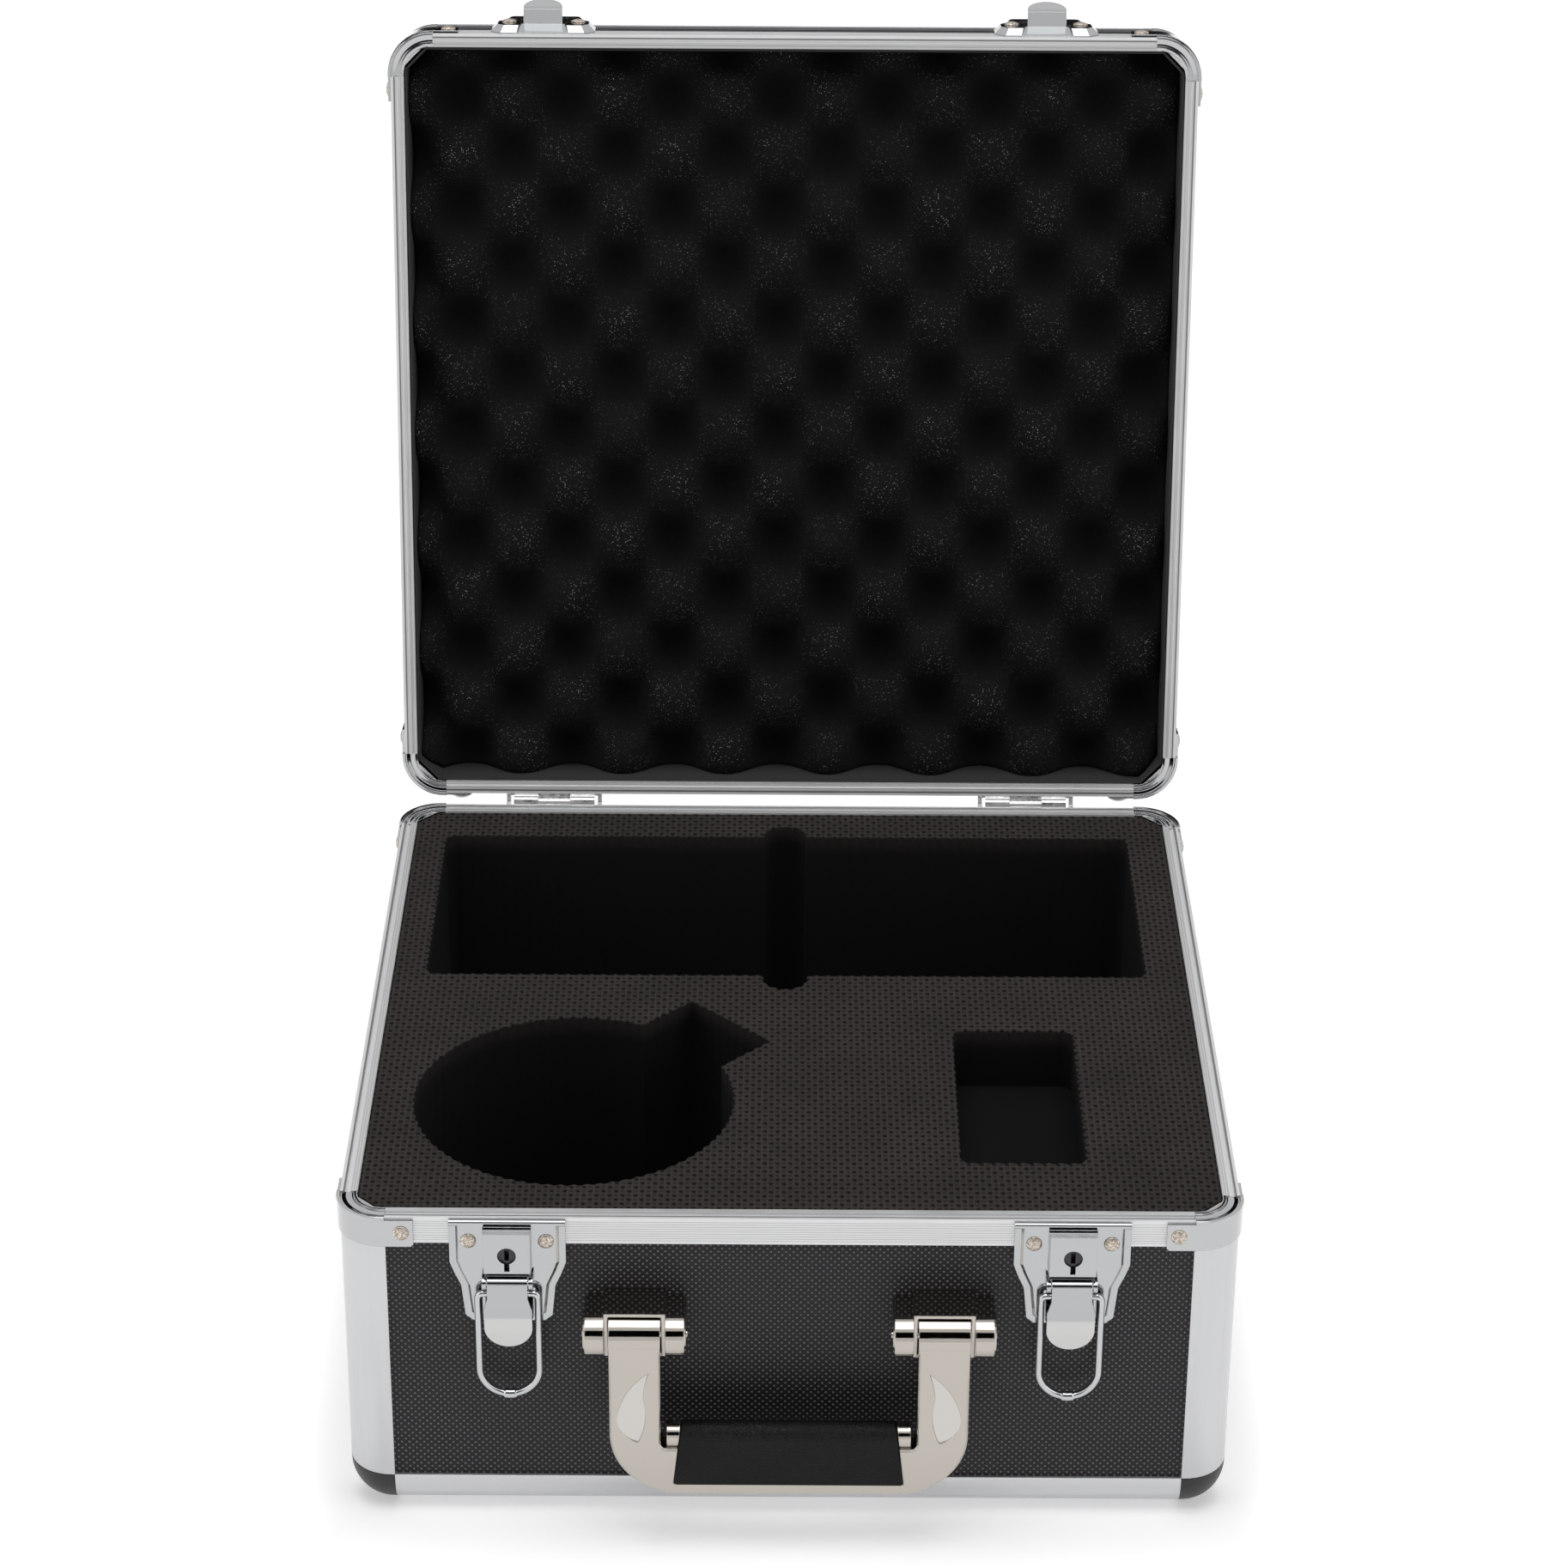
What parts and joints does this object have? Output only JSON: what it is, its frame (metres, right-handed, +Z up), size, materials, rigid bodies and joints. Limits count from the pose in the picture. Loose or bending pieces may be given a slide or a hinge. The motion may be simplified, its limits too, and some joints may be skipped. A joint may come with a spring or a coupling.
{
  "type": "flight case",
  "caption": "Aluminium-edged carrying case with keyed draw latches, a folding handle, a hinged lid with convoluted foam and a base with a pocketed foam insert.",
  "frame": {"origin": "centre of the base's underside", "axes": "+X to the right of someone facing the latches, +Y to the back where the hinges are, +Z up"},
  "size_m": [0.3044, 0.405, 0.4224],
  "materials": {
    "board": "embossed black plastic facing, satin",
    "extrusion": "satin anodised",
    "corner_plastic": "moulded, satin",
    "bright_chrome": "polished plating",
    "rivet_metal": "nickel, satin",
    "lock_metal": "nickel, satin",
    "pin_steel": "zinc plated",
    "insert_foam": "dense textured foam, matte",
    "crate_foam": "open-cell foam, matte",
    "lining_sheet": "thin sheet, matte",
    "grip_leather": "black padded, satin"
  },
  "bodies": {
    "base": {"base_back_board": "board", "base_back_rim": "extrusion", "base_bottom_board": "board", "base_bottom_edges": "extrusion", "base_corner_caps": "corner_plastic", "base_corner_posts": "extrusion", "base_foam_insert": "insert_foam", "base_foam_pad": "insert_foam", "base_front_board": "board", "base_front_rim": "extrusion", "base_glide_feet": "bright_chrome", "base_left_board": "board", "base_left_rim": "extrusion", "base_right_board": "board", "base_right_rim": "extrusion", "base_rim_brackets": "bright_chrome", "base_rivets": "rivet_metal", "handle_mount_left": "bright_chrome", "handle_mount_right": "bright_chrome", "handle_pins": "pin_steel", "hinge_base_leaf_left": "pin_steel", "hinge_base_leaf_right": "pin_steel", "hinge_pins": "pin_steel", "latch_plate_left": "bright_chrome", "latch_plate_right": "bright_chrome", "lever_pin_left": "pin_steel", "lever_pin_right": "pin_steel"},
    "lid": {"hinge_lid_leaf_left": "pin_steel", "hinge_lid_leaf_right": "pin_steel", "lid_back_board": "board", "lid_back_rim": "extrusion", "lid_catch_left": "bright_chrome", "lid_catch_right": "bright_chrome", "lid_corner_caps": "corner_plastic", "lid_corner_posts": "extrusion", "lid_crate_foam": "crate_foam", "lid_front_board": "board", "lid_front_rim": "extrusion", "lid_glide_feet": "bright_chrome", "lid_left_board": "board", "lid_left_rim": "extrusion", "lid_lining": "lining_sheet", "lid_right_board": "board", "lid_right_rim": "extrusion", "lid_rim_brackets": "bright_chrome", "lid_rivets": "rivet_metal", "lid_top_board": "board", "lid_top_edges": "extrusion"},
    "handle": {"handle_frame": "bright_chrome", "handle_grip": "grip_leather"},
    "lever_left": {"latch_lever_left": "bright_chrome"},
    "lever_right": {"latch_lever_right": "bright_chrome"},
    "bail_left": {"bail_left": "bright_chrome"},
    "bail_right": {"bail_right": "bright_chrome"},
    "plug_left": {"lock_plug_left": "lock_metal"},
    "plug_right": {"lock_plug_right": "lock_metal"}
  },
  "joints": [
    {"name": "lid_hinge", "type": "hinge", "parent": "base", "child": "lid", "pos_m": [0, 0.1505, 0.12], "axis": [1, 0, 0], "range_deg": [0, 99.5]},
    {"name": "handle_swing", "type": "hinge", "parent": "base", "child": "handle", "pos_m": [0, -0.159, 0.0822], "axis": [-1, 0, 0], "range_deg": [0, 95]},
    {"name": "lever_left_pivot", "type": "hinge", "parent": "base", "child": "lever_left", "pos_m": [-0.0935, -0.1526, 0.0975], "axis": [1, 0, 0], "range_deg": [-100, 0]},
    {"name": "lever_right_pivot", "type": "hinge", "parent": "base", "child": "lever_right", "pos_m": [0.0935, -0.1526, 0.0975], "axis": [1, 0, 0], "range_deg": [-100, 0]},
    {"name": "bail_left_pivot", "type": "hinge", "parent": "lever_left", "child": "bail_left", "pos_m": [-0.0935, -0.1526, 0.0935], "axis": [-1, 0, 0], "range_deg": [0, 179.4]},
    {"name": "bail_right_pivot", "type": "hinge", "parent": "lever_right", "child": "bail_right", "pos_m": [0.0935, -0.1526, 0.0935], "axis": [-1, 0, 0], "range_deg": [0, 179.4]},
    {"name": "plug_left_turn", "type": "hinge", "parent": "base", "child": "plug_left", "pos_m": [-0.0935, -0.1526, 0.109], "axis": [0, 1, 0], "range_deg": [0, 90]},
    {"name": "plug_right_turn", "type": "hinge", "parent": "base", "child": "plug_right", "pos_m": [0.0935, -0.1526, 0.109], "axis": [0, 1, 0], "range_deg": [0, 90]}
  ]
}
